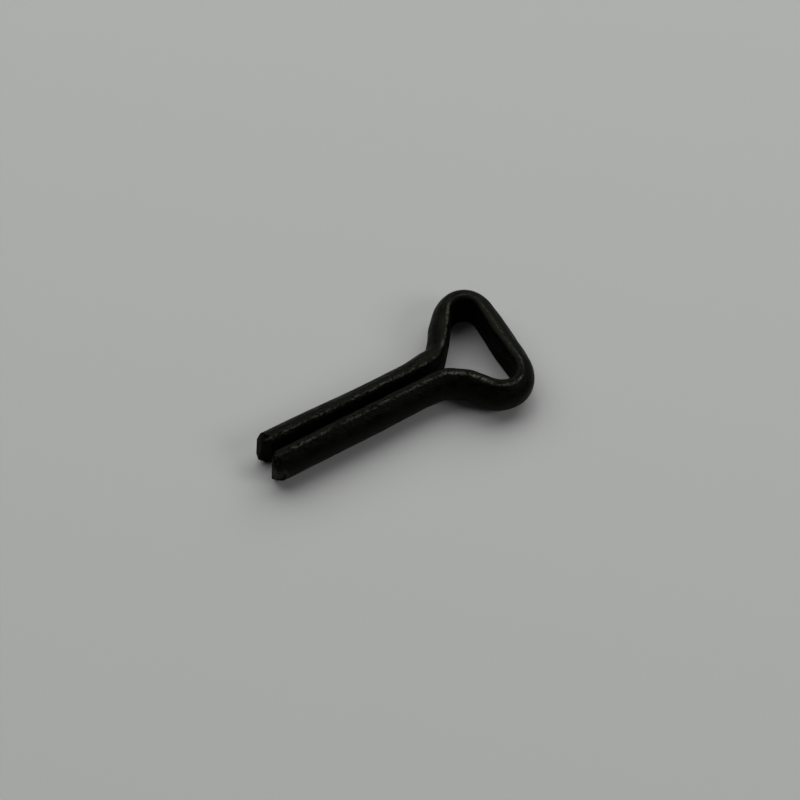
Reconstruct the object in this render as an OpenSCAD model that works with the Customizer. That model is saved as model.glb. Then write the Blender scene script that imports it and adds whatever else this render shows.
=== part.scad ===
// Cotter pin: one length of half-round wire, bent flat side inwards into a
// rounded triangular eye, with its two ends side by side as the prongs.
// The shank lies along X with the tips at -X and the eye at +X. The origin is on
// the shank's axis where the neck bends begin, and z = 0 is the pin's mid-plane.

/* [Wire] */
// Radius of the wire's round side
round_r = 2.44; // [2:0.02:2.8]
// Thickness of the wire, from its flat to the crown of its round side
wire_t = 2.18; // [1.8:0.02:2.4]
// How far the two long edges beside the flat are eased
edge_ease = 0.5; // [0.1:0.05:0.7]

/* [Prongs] */
// Gap between the flats of the two prongs
prong_gap = 1.1; // [0.3:0.1:2.5]
// Length of the left prong, from its neck bend to its tip
left_prong_len = 19.8; // [12:0.1:40]
// Length of the right prong, from its neck bend to its tip
right_prong_len = 20.1; // [12:0.1:40]
// How far the bevel on each tip cuts in from the sides
bevel_depth = 0.6; // [0.2:0.05:0.75]
// How far the bevel on each tip runs along the prong
bevel_len = 1.05; // [0.3:0.05:2]

/* [Eye] */
// Inside radius of the left neck bend, on the round side of the wire
left_neck_r = 1.69; // [0.5:0.01:2.5]
// Inside radius of the right neck bend, on the round side of the wire
right_neck_r = 2.44; // [1.5:0.01:4]
// Angle between the left leg and the shank
left_leg_angle = 51.3; // [35:0.1:60]
// Angle between the right leg and the shank
right_leg_angle = 62.9; // [50:0.1:68]
// Straight length of the right leg, between its two bends
right_leg_len = 1.15; // [0.5:0.05:5]
// Inside radius of the left corner, on the flat side of the wire
left_corner_r = 1.35; // [0.4:0.05:2.2]
// Inside radius of the right corner, on the flat side of the wire
right_corner_r = 1.8; // [0.8:0.05:3]
// How far the crossbar leans from square to the shank, its left end away from the tips
bar_lean = 1.8; // [0:0.1:4]

/* [Hidden] */
$fn = 64;
steel = "#23231f";

// Centre of the wire's round side, just behind the flat
round_centre = wire_t - round_r;
// Half the width of the wire at its flat, before the edges are eased
flat_half = sqrt(pow(round_r, 2) - pow(round_centre, 2));
// Reach of the tool shapes past the solids that they cut
clear = 2 * round_r;
// The bends stand this much proud of the straights, which run this far into them, so
// that every joint along the wire is a clean overlap
proud = 0.005;
overlap = 0.05;

// Radii of the neck bends measured at the flat
left_neck_flat_r = left_neck_r + wire_t;
right_neck_flat_r = right_neck_r + wire_t;

// How far one side of the eye reaches, measured at the flat: along X from its neck
// to the end of its corner, and across Y from the pin's axis. Lean is how far the
// crossbar leans away from the tips at that side.
function reach_x(neck, angle, leg, corner, lean) =
    neck * sin(angle) + leg * cos(angle) + corner * (sin(angle) + cos(lean));
function reach_y(neck, angle, leg, corner, lean) =
    prong_gap / 2 + neck * (1 - cos(angle)) + leg * sin(angle)
    - corner * (cos(angle) + sin(lean));

// The right side sets where the crossbar starts
bar_right_x =
    reach_x(right_neck_flat_r, right_leg_angle, right_leg_len, right_corner_r, -bar_lean);
bar_right_y =
    reach_y(right_neck_flat_r, right_leg_angle, right_leg_len, right_corner_r, -bar_lean);

// The left leg is as long as it takes to reach the same crossbar
left_start_x = reach_x(left_neck_flat_r, left_leg_angle, 0, left_corner_r, bar_lean);
left_start_y = reach_y(left_neck_flat_r, left_leg_angle, 0, left_corner_r, bar_lean);
left_leg_len =
    (bar_right_x + (left_start_y + bar_right_y) * tan(bar_lean) - left_start_x)
    / (cos(left_leg_angle) - sin(left_leg_angle) * tan(bar_lean));
bar_left_x = left_start_x + left_leg_len * cos(left_leg_angle);
bar_left_y = left_start_y + left_leg_len * sin(left_leg_angle);

// Section of the wire: the flat on x = 0, the round side towards +x, all of it
// offset outwards by grow. A second circle eases the two edges at 45 degrees.
module wire_section(grow = 0) {
    flat_left = flat_half - edge_ease;
    intersection() {
        translate([round_centre, 0]) circle(r = round_r + grow);
        translate([flat_left, 0]) circle(r = flat_left * sqrt(2) + grow);
        translate([-grow, -clear]) square([clear, 2 * clear]);
    }
}

// Each wire module starts at the origin and heads along +X, round side to +Y.
// A straight runs on into what comes before and after it.
module straight(length, before = overlap, after = overlap) {
    translate([-before, 0, 0]) rotate([90, 0, 90])
        linear_extrude(height = before + length + after) wire_section();
}

// A bend towards the round side, with its radius at the flat
module bend_out(radius, angle) {
    translate([0, radius, 0]) rotate([0, 0, -90])
        rotate_extrude(angle = angle) translate([radius, 0]) mirror([1, 0]) wire_section(proud);
}

// A bend towards the flat side, with its radius at the flat
module bend_in(radius, angle) {
    translate([0, -radius, 0]) rotate([0, 0, 90 - angle])
        rotate_extrude(angle = angle) translate([radius, 0]) wire_section(proud);
}

// Carries its children to the end of a bend_out
module after_bend_out(radius, angle) {
    translate([radius * sin(angle), radius * (1 - cos(angle)), 0])
        rotate([0, 0, angle]) children();
}

// A straight prong that ends at its neck, with a bevel all round its tip
module prong(length) {
    translate([-length, 0, 0]) difference() {
        intersection() {
            straight(length, before = 0);
            // The bevel on the round side is a cone
            translate([0, round_centre, 0]) rotate([0, 90, 0]) {
                cylinder(h = bevel_len, r1 = round_r - bevel_depth, r2 = round_r);
                translate([0, 0, bevel_len]) cylinder(h = length, r = clear);
            }
        }
        // The bevel on the flat is a plane
        translate([0, 0, -clear]) linear_extrude(height = 2 * clear)
            polygon([
                [bevel_len, 0],
                [-bevel_len, 2 * bevel_depth],
                [-bevel_len, -bevel_depth],
                [bevel_len, -bevel_depth]
            ]);
    }
}

// One side of the pin: prong, neck bend, leg and corner
module side(prong_len, neck_r, leg_angle, leg_len, corner_r, lean) {
    translate([0, prong_gap / 2, 0]) {
        prong(prong_len);
        bend_out(neck_r, leg_angle);
        after_bend_out(neck_r, leg_angle) {
            straight(leg_len);
            translate([leg_len, 0, 0]) bend_in(corner_r, leg_angle + 90 + lean);
        }
    }
}

module crossbar() {
    translate([bar_left_x, bar_left_y, 0]) rotate([0, 0, -90 - bar_lean])
        straight((bar_left_y + bar_right_y) / cos(bar_lean));
}

module cotter_pin() {
    color(steel) {
        side(
            left_prong_len, left_neck_flat_r, left_leg_angle, left_leg_len,
            left_corner_r, bar_lean);
        crossbar();
        mirror([0, 1, 0])
            side(
                right_prong_len, right_neck_flat_r, right_leg_angle, right_leg_len,
                right_corner_r, -bar_lean);
    }
}

cotter_pin();
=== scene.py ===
import math

import bmesh
import bpy
from mathutils import Matrix, Vector, noise


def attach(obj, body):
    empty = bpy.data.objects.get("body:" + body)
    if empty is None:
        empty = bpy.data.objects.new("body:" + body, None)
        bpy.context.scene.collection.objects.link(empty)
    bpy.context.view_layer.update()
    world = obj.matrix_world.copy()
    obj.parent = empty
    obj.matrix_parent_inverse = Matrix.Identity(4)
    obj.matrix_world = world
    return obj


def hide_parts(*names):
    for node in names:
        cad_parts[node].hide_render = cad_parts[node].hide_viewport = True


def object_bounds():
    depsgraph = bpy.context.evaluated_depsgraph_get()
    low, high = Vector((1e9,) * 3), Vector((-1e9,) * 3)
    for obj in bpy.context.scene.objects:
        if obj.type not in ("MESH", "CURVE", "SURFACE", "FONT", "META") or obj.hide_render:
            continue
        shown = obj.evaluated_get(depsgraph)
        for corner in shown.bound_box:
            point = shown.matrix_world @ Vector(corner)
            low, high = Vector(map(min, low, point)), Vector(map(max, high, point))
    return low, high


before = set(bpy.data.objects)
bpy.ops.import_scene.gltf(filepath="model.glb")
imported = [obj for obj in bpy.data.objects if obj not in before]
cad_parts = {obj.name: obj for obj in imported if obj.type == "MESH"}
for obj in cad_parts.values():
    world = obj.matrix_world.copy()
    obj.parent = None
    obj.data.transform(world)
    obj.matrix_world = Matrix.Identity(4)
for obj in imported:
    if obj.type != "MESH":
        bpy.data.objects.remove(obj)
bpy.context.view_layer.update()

# --------------------------------------------------------------------------------
# Cotter pin. One length of half-round steel wire, bent flat side inwards into a
# rounded triangular eye, with its two ends left side by side as the prongs. The
# tips are cropped blunt, and the whole pin is blackened in a phosphate bath.
# --------------------------------------------------------------------------------

# The wire's section, in millimetres
WIRE_RADIUS = 2.43
WIRE_THICKNESS = 2.175
EDGE_RADIUS = 0.455
ROUND_STEPS = 44
EDGE_STEPS = 9
FLAT_STEPS = 14

# The bends, in millimetres and degrees. Radii are measured at the wire's flat.
PRONG_GAP_AT_NECK = 1.0
PRONG_SPREAD = 0.39
LEFT_PRONG = 19.77
RIGHT_PRONG = 19.85
LEFT_NECK_RADIUS = 3.87
RIGHT_NECK_RADIUS = 4.61
LEFT_LEG_ANGLE = 51.7
RIGHT_LEG_ANGLE = 63.3
LEFT_CORNER_RADIUS = 1.35
RIGHT_CORNER_RADIUS = 1.78
EYE_LENGTH = 8.13
CROSSBAR_LEAN = 1.8

# Each tip is cropped by flat cuts. Each cut has its direction round the wire, with 0 at
# the round side, 90 at the top and 180 at the flat, its angle to the prong, both in
# degrees, and how far it cuts in at the very tip, in millimetres.
LEFT_CUTS = [
    (0, 30, 0.68), (45, 31, 0.56), (90, 34, 0.68), (-45, 30, 0.22), (-90, 34, 0.4),
    (180, 30, 0.62)]
RIGHT_CUTS = [
    (0, 30, 0.55), (45, 30, 0.5), (90, 34, 0.45), (-45, 27, 0.48), (-90, 32, 0.3),
    (180, 30, 0.66)]
# How far the end leans back towards its top, in degrees
LEFT_END_LEAN = 8
RIGHT_END_LEAN = 4.5
TIP_LENGTH = 1.6
TIP_EDGE = 0.07

# Spacing of the rings of the mesh along the wire, in millimetres
RING = 0.17

bm = bmesh.new()
wire_place = bm.verts.layers.float_vector.new("wire_place")
outward = bm.verts.layers.float_vector.new("outward")


def heading_vector(heading):
    return Vector((math.cos(heading), math.sin(heading), 0))


def left_of(heading):
    return Vector((-math.sin(heading), math.cos(heading), 0))


def draw_arc(points, centre, angle, steps):
    """Draws an arc of the section from its last point, and returns the new last point."""
    drawn = bmesh.ops.spin(
        bm, geom=points, cent=(centre[0], 0, centre[1]), axis=(0, -1, 0),
        dvec=(0, 0, 0), angle=angle, steps=steps, use_duplicate=False)
    return [g for g in drawn["geom_last"] if isinstance(g, bmesh.types.BMVert)]


# The section is drawn by one point, with the flat on x = 0 and the round side
# towards +x: lower edge, round side, upper edge and flat
round_centre = WIRE_THICKNESS - WIRE_RADIUS
edge_height = math.sqrt(
    (WIRE_RADIUS - EDGE_RADIUS) ** 2 - (EDGE_RADIUS - round_centre) ** 2)
round_half = math.atan2(edge_height, EDGE_RADIUS - round_centre)
point = bmesh.ops.create_vert(bm, co=(0, 0, -edge_height))["vert"]
point = draw_arc(point, (EDGE_RADIUS, -edge_height), math.pi - round_half, EDGE_STEPS)
point = draw_arc(point, (round_centre, 0), 2 * round_half, ROUND_STEPS)
point = draw_arc(point, (EDGE_RADIUS, edge_height), math.pi - round_half, EDGE_STEPS)
bmesh.ops.spin(
    bm, geom=point, cent=(0, 0, 0), axis=(0, 1, 0),
    dvec=(0, 0, -2 * edge_height / FLAT_STEPS), angle=0, steps=FLAT_STEPS,
    use_duplicate=False)
bmesh.ops.remove_doubles(bm, verts=bm.verts[:], dist=1e-4)
for v in bm.verts:
    v[wire_place] = (0, v.co.x, v.co.z)
    v[outward] = (1, 0, 0)

# The section stands at the middle of the crossbar, where both sides of the pin start
lean = math.radians(CROSSBAR_LEAN)
bar_middle = Vector((EYE_LENGTH, 0, 0))
bmesh.ops.rotate(
    bm, verts=bm.verts[:], cent=(0, 0, 0), matrix=Matrix.Rotation(-lean, 3, "Z"))
bmesh.ops.translate(bm, verts=bm.verts[:], vec=bar_middle)
middle_ring = bm.edges[:]


def feed_wire(ring, steps, centre, angle, push, place, heading, way):
    """Carries a ring of the wire on, and notes on each new point how far along the
    unbent wire it lies. Returns the last ring."""
    made_before = len(bm.verts)
    carried = bmesh.ops.spin(
        bm, geom=ring, cent=centre, axis=(0, 0, 1), dvec=push / steps, angle=angle,
        steps=steps, use_duplicate=False)["geom_last"]
    bm.verts.ensure_lookup_table()
    arm = place - centre
    for v in bm.verts[made_before:]:
        turned = 0
        if angle:
            reach = v.co - centre
            turned = math.atan2(arm.cross(reach).z, arm.xy.dot(reach.xy))
            v[wire_place].x += way * abs(turned) * arm.length
        else:
            v[wire_place].x += way * (v.co - place).dot(heading_vector(heading))
        v[outward] = -way * left_of(heading + turned)
    return [g for g in carried if isinstance(g, bmesh.types.BMEdge)]


def pull_straight(ring, place, heading, length, way):
    """Feeds a straight length, and returns the last ring and the place of its flat."""
    push = heading_vector(heading) * length
    steps = max(1, round(length / RING))
    ring = feed_wire(ring, steps, Vector((0, 0, 0)), 0, push, place, heading, way)
    return ring, place + push


def bend_shift(radius, start, end):
    """How far a bend carries the wire's flat, from one heading to another."""
    side = math.copysign(radius, end - start)
    return side * (left_of(start) - left_of(end))


def bend_wire(ring, place, start, end, radius, way):
    """Bends the wire on from one heading to another, to the left if the second is
    greater, and returns the last ring and the place of its flat."""
    centre = place + math.copysign(radius, end - start) * left_of(start)
    turn = abs(end - start)
    steps = max(round(radius * turn / RING), round(math.degrees(turn) / 3))
    ring = feed_wire(
        ring, steps, centre, end - start, Vector((0, 0, 0)), place, start, way)
    return ring, place + bend_shift(radius, start, end)


def bend_side(corner_radius, neck_radius, bar, leg, prong, prong_length, gap_side):
    """Bends one side of the pin from the middle of the crossbar to its tip. Bar, leg
    and prong are headings. The bar and the leg are as long as it takes for the neck to
    end beside the pin's axis. Returns the ring at the tip."""
    neck_end = Vector((0, gap_side * PRONG_GAP_AT_NECK / 2, 0))
    shift = bend_shift(corner_radius, bar, leg) + bend_shift(neck_radius, leg, prong)
    rest = neck_end - bar_middle - shift
    along_bar = heading_vector(bar)
    along_leg = heading_vector(leg)
    crossing = along_bar.cross(along_leg).z
    bar_length = rest.cross(along_leg).z / crossing
    leg_length = along_bar.cross(rest).z / crossing
    ring, place = pull_straight(middle_ring, bar_middle, bar, bar_length, gap_side)
    ring, place = bend_wire(ring, place, bar, leg, corner_radius, gap_side)
    ring, place = pull_straight(ring, place, leg, leg_length, gap_side)
    ring, place = bend_wire(ring, place, leg, prong, neck_radius, gap_side)
    length = prong_length - TIP_LENGTH
    ring, place = pull_straight(ring, place, prong, length, gap_side)
    return ring, place


quarter = math.radians(90)
left_prong = 2 * quarter - math.radians(PRONG_SPREAD)
left_tip, left_place = bend_side(
    LEFT_CORNER_RADIUS, LEFT_NECK_RADIUS, quarter - lean,
    left_prong + math.radians(LEFT_LEG_ANGLE), left_prong, LEFT_PRONG, 1)
right_prong = -left_prong
right_tip, right_place = bend_side(
    RIGHT_CORNER_RADIUS, RIGHT_NECK_RADIUS, -quarter - lean,
    right_prong - math.radians(RIGHT_LEG_ANGLE), right_prong, RIGHT_PRONG, -1)


def section_reach(direction):
    """How far the section reaches from the middle of its flat, in a direction round
    the wire given in radians."""
    points = [
        (EDGE_RADIUS, edge_height, EDGE_RADIUS), (EDGE_RADIUS, -edge_height, EDGE_RADIUS)]
    if abs(direction) < round_half:
        points.append((round_centre, 0, WIRE_RADIUS))
    return max(
        x * math.cos(direction) + z * math.sin(direction) + r for x, z, r in points)


def crop_tip(ring, place, heading, gap_side, cuts, end_lean):
    """Feeds the last stretch of a prong, crops it with flat cuts, and returns the
    edges of the cuts."""
    forward = heading_vector(heading)
    round_way = -gap_side * left_of(heading)
    up = Vector((0, 0, 1))
    spare = TIP_LENGTH + edge_height
    fed = feed_wire(
        ring, 10, Vector((0, 0, 0)), 0, forward * spare, place, heading, gap_side)
    bmesh.ops.contextual_create(bm, geom=fed)
    tip = place + forward * TIP_LENGTH
    lean_back = math.radians(end_lean)
    planes = [(tip, forward * math.cos(lean_back) + up * math.sin(lean_back))]
    for around, angle, depth in cuts:
        side = round_way * math.cos(math.radians(around)) + up * math.sin(math.radians(around))
        tilt = math.radians(angle)
        planes.append((
            tip + side * (section_reach(math.radians(around)) - depth),
            forward * math.sin(tilt) + side * math.cos(tilt)))
    for start, normal in planes:
        inside = [
            f for f in bm.faces
            if min((v.co - place).dot(forward) for v in f.verts) > -1e-4
            and gap_side * f.calc_center_median().y > 0]
        parts = {e for f in inside for e in f.edges} | {v for f in inside for v in f.verts}
        cut = bmesh.ops.bisect_plane(
            bm, geom=list(parts) + inside, plane_co=start, plane_no=normal,
            clear_outer=True)
        opened = [g for g in cut["geom_cut"] if isinstance(g, bmesh.types.BMEdge)]
        bmesh.ops.holes_fill(bm, edges=opened, sides=0)
    return [
        e for e in bm.edges
        if len(e.link_faces) == 2 and e.calc_face_angle(0) > math.radians(10)
        and min((v.co - place).dot(forward) for v in e.verts) > 1e-4
        and gap_side * e.verts[0].co.y > 0]


rims = crop_tip(left_tip, left_place, left_prong, 1, LEFT_CUTS, LEFT_END_LEAN)
rims += crop_tip(right_tip, right_place, right_prong, -1, RIGHT_CUTS, RIGHT_END_LEAN)
bmesh.ops.bevel(
    bm, geom=rims, offset=TIP_EDGE, offset_type="OFFSET",
    affect="EDGES", segments=3, profile=0.5, material=-1, clamp_overlap=True)
bmesh.ops.recalc_face_normals(bm, faces=bm.faces[:])
bm.normal_update()

# Marks the faces of the cuts, which look away from the eye
TIP_FROM = -17
cropped = bm.faces.layers.float.new("cropped")
for f in bm.faces:
    f[cropped] = f.calc_center_median().x < TIP_FROM and f.normal.x < -0.25

# The bends left the round side of the wire a little fuller or flatter in places, and
# the whole wire a little off its drawn line. Each place is given along the wire, with
# how far it runs either way and how much it moves outwards, in millimetres.
FULLER = [
    (24, 7, -0.09), (15.5, 2.7, 0.28), (10.3, 2.6, 0.07), (9.9, 1.5, 0.11), (7.5, 1, -0.12),
    (6, 1.1, 0.05), (2, 3, 0.085), (0.3, 4, 0.12), (-0.3, 1.9, 0.06),
    (-2.3, 1.5, 0.07), (-5.2, 1.4, 0.15), (-5.2, 1.9, -0.26), (-7.8, 1.6, 0.12),
    (-15.9, 2, -0.09), (-18.2, 3.6, -0.09)]
SWAY = [
    (10.3, 2.6, -0.08), (0.3, 4, -0.12), (-5.2, 1.9, 0.25), (-7.8, 1.7, -0.2), (-11.3, 2, 0.17)]
# Where the round side starts to count as such, and where it counts in full
ROUND_FROM = 0.5
ROUND_TO = 1.2
# Waves that drawing and bending left in the surface: their size and depth
WAVES = [(1.6, 0.016), (0.6, 0.007)]


def smooth_step(share):
    share = min(max(share, 0), 1)
    return share * share * (3 - 2 * share)


def moved_at(places, along):
    return sum(
        growth * smooth_step(1 - abs(along - middle) / reach)
        for middle, reach, growth in places)


for v in bm.verts:
    along, out, height = v[wire_place]
    roundness = smooth_step((out - ROUND_FROM) / (ROUND_TO - ROUND_FROM))
    v.co += v[outward] * moved_at(SWAY, along)
    v.co += v.normal * moved_at(FULLER, along) * roundness
    for size, depth in WAVES:
        v.co += v.normal * depth * noise.noise(Vector((along, out, height)) / size)
bm.verts.layers.float_vector.remove(outward)
bm.normal_update()

MM = 0.001
bmesh.ops.scale(bm, vec=(MM, MM, MM), verts=bm.verts[:])
for f in bm.faces:
    f.smooth = True
mesh = bpy.data.meshes.new("bent_wire")
bm.to_mesh(mesh)
bm.free()
pin = bpy.data.objects.new("bent_wire", mesh)
bpy.context.scene.collection.objects.link(pin)
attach(pin, "root")
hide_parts("cotter_pin")

# The coat of black phosphate, laid out on the unbent wire so that it follows the bends.
# All sizes are millimetres along the wire, out from its flat, and up.
COAT_TINT = (1.0, 0.985, 0.82)
COAT = 0.0017
# How far the coat shines, and how rough it is
COAT_SHINE = 0.036
SHINE_TINT = (1, 0.98, 0.74, 1)
COAT_ROUGHNESS = 0.44
# Painted reflection: the round side is painted greyer from a little above its middle
# downwards, standing in for the pale floor that it reflects
LOW_SIDE_PAINTED_REFLECTION = 0.005
# Bright crystals standing in the coat
CRYSTALS = 0.006
# Where the coat has worn off the wire's long edges, with a painted highlight on top: the
# line sits where the lamps glint off the edges, and is painted paler where that glint is
# brighter. The line wanders and fades: each entry is a place along the wire, how far out
# from the flat the line is there, and how much paler it is.
WEAR_AND_HIGHLIGHT_HALF_WIDTH = 0.25
WEAR_AND_HIGHLIGHT_LINE = [
    (-15, 0.77, 0.037), (-12, 0.75, 0.074), (-8.5, 0.75, 0.068), (-5.5, 0.86, 0.05),
    (-2.5, 0.76, 0.016), (1, 0.73, 0.009), (5, 0.62, 0.015), (9, 0.36, 0.028),
    (12, 0.31, 0.034), (16, 0.2, 0.038), (35, 0.15, 0.038)]
# Brown patches of rust, each with its place on the wire and its reach
RUST_TINT = (0.5, -0.22, -0.32)
RUST = [((0.3, 1.4, 1.5), 1.3), ((35.2, 0.9, 0.5), 1.6)]
# Paler patches, each with its place on the wire, its reach and
# how much paler it is
PALE_PATCHES = [((-33.7, 1.7, -0.1), 1.5, 0.03)]
# Streaks that the shears left in the cropped ends
SHEAR_STREAKS = 0.006
# Depth of the relief in the coat
COAT_RELIEF = 0.000032

black_steel = bpy.data.materials.new("black_phosphated_steel")
black_steel.use_nodes = True
nodes = black_steel.node_tree.nodes
shader = nodes["Principled BSDF"]


def feed(socket, value):
    """Links a socket to another one, or sets it to a value."""
    if isinstance(value, bpy.types.NodeSocket):
        black_steel.node_tree.links.new(value, socket)
    else:
        socket.default_value = value


def maths(operation, *values):
    node = nodes.new("ShaderNodeMath")
    node.operation = operation
    for socket, value in zip(node.inputs, values):
        feed(socket, value)
    return node.outputs["Value"]


def vector_maths(operation, *values):
    node = nodes.new("ShaderNodeVectorMath")
    node.operation = operation
    for socket, value in zip(node.inputs, values):
        feed(socket, value)
    return node.outputs["Value" if operation == "DISTANCE" else "Vector"]


def grade(value, start, end, low=0, high=1, kind="SMOOTHSTEP"):
    """Goes from low to high as a value goes from start to end, and stays there."""
    node = nodes.new("ShaderNodeMapRange")
    node.interpolation_type = kind
    for socket, number in zip(node.inputs, (value, start, end, low, high)):
        feed(socket, number)
    return node.outputs["Result"]


def grain(place, size, detail, seed):
    """Noise of a given size, from 0 to 1."""
    node = nodes.new("ShaderNodeTexNoise")
    node.noise_dimensions = "4D"
    feed(node.inputs["Vector"], place)
    node.inputs["W"].default_value = seed
    node.inputs["Scale"].default_value = 1 / size
    node.inputs["Detail"].default_value = detail
    return node.outputs["Fac"]


on_wire = nodes.new("ShaderNodeAttribute")
on_wire.attribute_name = "wire_place"
place_on_wire = on_wire.outputs["Vector"]
parts = nodes.new("ShaderNodeSeparateXYZ")
feed(parts.inputs["Vector"], place_on_wire)
along, out, height = parts.outputs
up_or_down = maths("ABSOLUTE", height)

# Drawing stretched the marks a little along the wire
stretched = vector_maths("MULTIPLY", place_on_wire, (0.6, 1, 1))
mottle = grain(stretched, 0.8, 2, 1)
speckle = grain(place_on_wire, 0.2, 1, 2)
scuff = grain(stretched, 0.3, 2, 3)
patch = grain(stretched, 2.2, 1, 4)

# Real wear and a painted highlight along the long edges
line_out, line_wear_and_highlight = WEAR_AND_HIGHLIGHT_LINE[0][1:]
for start, end in zip(WEAR_AND_HIGHLIGHT_LINE, WEAR_AND_HIGHLIGHT_LINE[1:]):
    out_step = grade(along, start[0], end[0], 0, end[1] - start[1])
    line_out = maths("ADD", line_out, out_step)
    wear_and_highlight_step = grade(along, start[0], end[0], 0, end[2] - start[2])
    line_wear_and_highlight = maths("ADD", line_wear_and_highlight, wear_and_highlight_step)
off_line = maths("ABSOLUTE", maths("SUBTRACT", out, line_out))
wear_and_highlight = maths("MULTIPLY", line_wear_and_highlight, grade(off_line, WEAR_AND_HIGHLIGHT_HALF_WIDTH, 0))
wear_and_highlight = maths("MULTIPLY", wear_and_highlight, grade(up_or_down, 1.5, 1.9))
wear_and_highlight = maths("MULTIPLY", wear_and_highlight, grade(scuff, 0.38, 0.6, 0.1, 1.15))
wear_and_highlight = maths("MULTIPLY", wear_and_highlight, grade(speckle, 0.38, 0.62, 0.35, 1.6))
wear_and_highlight = maths("MULTIPLY", wear_and_highlight, grade(patch, 0.25, 0.6, 0.4, 1))

# Painted reflection of the floor on the lower round side
painted_floor_reflection = maths("MULTIPLY", grade(height, 1.3, -0.6), grade(out, 0.3, 0.9))
on_flat = grade(out, 0.12, 0.02)
coat_and_painted_light = maths("MULTIPLY", grade(mottle, 0.3, 0.7, 0.4, 1.6), COAT)
# Painted shade: the flat faces, which lie between the prongs and inside the eye, are painted darker
coat_and_painted_light = maths("MULTIPLY", coat_and_painted_light, grade(on_flat, 0, 1, 1, 0.3))
coat_and_painted_light = maths("MULTIPLY_ADD", painted_floor_reflection, LOW_SIDE_PAINTED_REFLECTION, coat_and_painted_light)
coat_and_painted_light = maths("MULTIPLY_ADD", grade(speckle, 0.6, 0.75), CRYSTALS, coat_and_painted_light)
coat_and_painted_light = maths("ADD", wear_and_highlight, coat_and_painted_light)
for centre, reach, paler in PALE_PATCHES:
    away = vector_maths("DISTANCE", place_on_wire, centre)
    pale_patch = maths("MULTIPLY", grade(away, reach, 0.4), grade(scuff, 0.3, 0.6, 0.3, 1))
    coat_and_painted_light = maths("MULTIPLY_ADD", pale_patch, paler, coat_and_painted_light)
on_end = nodes.new("ShaderNodeAttribute")
on_end.attribute_name = "cropped"
on_end = on_end.outputs["Fac"]
streaks = grain(vector_maths("MULTIPLY", place_on_wire, (1, 4, 0.5)), 0.6, 1, 5)
streaks = maths("MULTIPLY", on_end, grade(streaks, 0.52, 0.7))
coat_and_painted_light = maths("MULTIPLY_ADD", streaks, SHEAR_STREAKS, coat_and_painted_light)

rust = 0
for centre, reach in RUST:
    away = vector_maths("DISTANCE", place_on_wire, centre)
    rust = maths("ADD", rust, grade(away, reach, 0.3))
rust = maths("MULTIPLY", rust, grade(mottle, 0.35, 0.6))
tint = vector_maths("MULTIPLY_ADD", rust, RUST_TINT, COAT_TINT)
colour = nodes.new("ShaderNodeVectorMath")
colour.operation = "SCALE"
feed(colour.inputs["Vector"], tint)
feed(colour.inputs["Scale"], coat_and_painted_light)
feed(shader.inputs["Base Color"], colour.outputs["Vector"])

roughness = maths("MULTIPLY_ADD", grade(mottle, 0.3, 0.7, -1, 1), 0.14, COAT_ROUGHNESS)
roughness = maths("MULTIPLY_ADD", on_flat, 0.35, roughness)
roughness = maths("MULTIPLY_ADD", on_end, 0.3, roughness)
feed(shader.inputs["Roughness"], roughness)
shader.inputs["Specular IOR Level"].default_value = COAT_SHINE
shader.inputs["Specular Tint"].default_value = SHINE_TINT

relief = nodes.new("ShaderNodeBump")
relief.inputs["Strength"].default_value = 1
relief.inputs["Distance"].default_value = COAT_RELIEF
relief_height = maths("MULTIPLY_ADD", scuff, 1.8, maths("MULTIPLY", speckle, 1.5))
relief_height = maths("ADD", relief_height, maths("MULTIPLY", mottle, 2))
relief_height = maths("MULTIPLY", relief_height, grade(on_flat, 0, 1, 1, 0.3))
feed(relief.inputs["Height"], relief_height)
feed(shader.inputs["Normal"], relief.outputs["Normal"])
mesh.materials.append(black_steel)

# --------------------------------------------------------------------------------
# The sheet that the pin lies on
# --------------------------------------------------------------------------------
FLOOR_SIZE = 3.0
floor_bm = bmesh.new()
bmesh.ops.create_grid(floor_bm, x_segments=1, y_segments=1, size=FLOOR_SIZE / 2)
bmesh.ops.translate(floor_bm, verts=floor_bm.verts[:], vec=(0, 0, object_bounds()[0].z))
floor_mesh = bpy.data.meshes.new("sheet")
floor_bm.to_mesh(floor_mesh)
floor_bm.free()
floor = bpy.data.objects.new("sheet", floor_mesh)
bpy.context.scene.collection.objects.link(floor)
sheet = bpy.data.materials.new("pale_sheet")
sheet.use_nodes = True
sheet_shader = sheet.node_tree.nodes["Principled BSDF"]
sheet_shader.inputs["Base Color"].default_value = (0.405, 0.413, 0.405, 1)
sheet_shader.inputs["Roughness"].default_value = 0.8
sheet_shader.inputs["Specular IOR Level"].default_value = 0.1
floor_mesh.materials.append(sheet)

# --------------------------------------------------------------------------------
# Lamps, sky and camera
# --------------------------------------------------------------------------------
VIEW_TURN = 30.05


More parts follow.
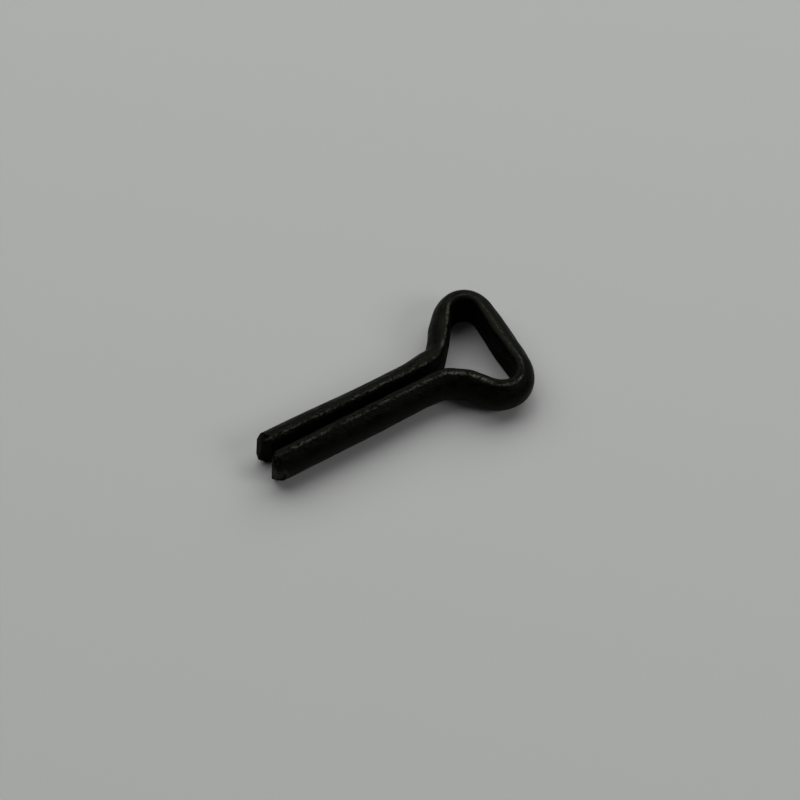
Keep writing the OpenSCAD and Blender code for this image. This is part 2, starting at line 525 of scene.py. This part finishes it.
def lamp(name, azimuth, zenith, half_angle, share, distance):
    """A round soft lamp that aims at the pin. Share is its part of the floor's light."""
    direction = Vector((
        math.sin(math.radians(zenith)) * math.cos(math.radians(azimuth)),
        math.sin(math.radians(zenith)) * math.sin(math.radians(azimuth)),
        math.cos(math.radians(zenith))))
    light = bpy.data.lights.new(name, "AREA")
    light.shape = "DISK"
    radius = distance * math.tan(math.radians(half_angle))
    light.size = 2 * radius
    radiance = share / (math.sin(math.radians(half_angle)) ** 2 * direction.z)
    light.energy = radiance * math.pi * math.pi * radius ** 2
    holder = bpy.data.objects.new(name, light)
    holder.location = direction * distance
    holder.rotation_mode = "QUATERNION"
    holder.rotation_quaternion = direction.to_track_quat("Z", "Y")
    bpy.context.scene.collection.objects.link(holder)


lamp("left_window", 134 - VIEW_TURN, 38, 29, 0.37, 0.8)
lamp("right_window", 66 - VIEW_TURN, 44, 29, 0.41, 0.8)
lamp("side_lamp", -20.2 - VIEW_TURN, 53.2, 12, 0.14, 0.8)
world = bpy.data.worlds.new("room")
world.use_nodes = True
world.node_tree.nodes["Background"].inputs["Color"].default_value = (1, 1, 1, 1)
world.node_tree.nodes["Background"].inputs["Strength"].default_value = 0.05
bpy.context.scene.world = world

CAMERA_RISE = 56.5
CAMERA_DISTANCE = 0.2879
CAMERA_HALF_VIEW = 0.1474
CAMERA_ROLL = 0.42
AIM = (-0.00333, 0.000688, -0.00231)
camera_data = bpy.data.cameras.new("camera")
camera_data.sensor_width = 36
camera_data.lens = 18 / CAMERA_HALF_VIEW
camera_data.clip_start = 0.01
camera_data.clip_end = 10
camera = bpy.data.objects.new("camera", camera_data)
rise = math.radians(CAMERA_RISE)
turn = math.radians(VIEW_TURN)
to_camera = Vector((-math.sin(turn) * math.cos(rise), -math.cos(turn) * math.cos(rise), math.sin(rise)))
camera.location = Vector(AIM) + to_camera * CAMERA_DISTANCE
camera.rotation_mode = "QUATERNION"
level = to_camera.to_track_quat("Z", "Y").to_matrix()
roll = Matrix.Rotation(math.radians(-CAMERA_ROLL), 3, "Z")
camera.rotation_quaternion = (level @ roll).to_quaternion()
bpy.context.scene.collection.objects.link(camera)
bpy.context.scene.camera = camera

bpy.context.scene.view_settings.view_transform = "Standard"
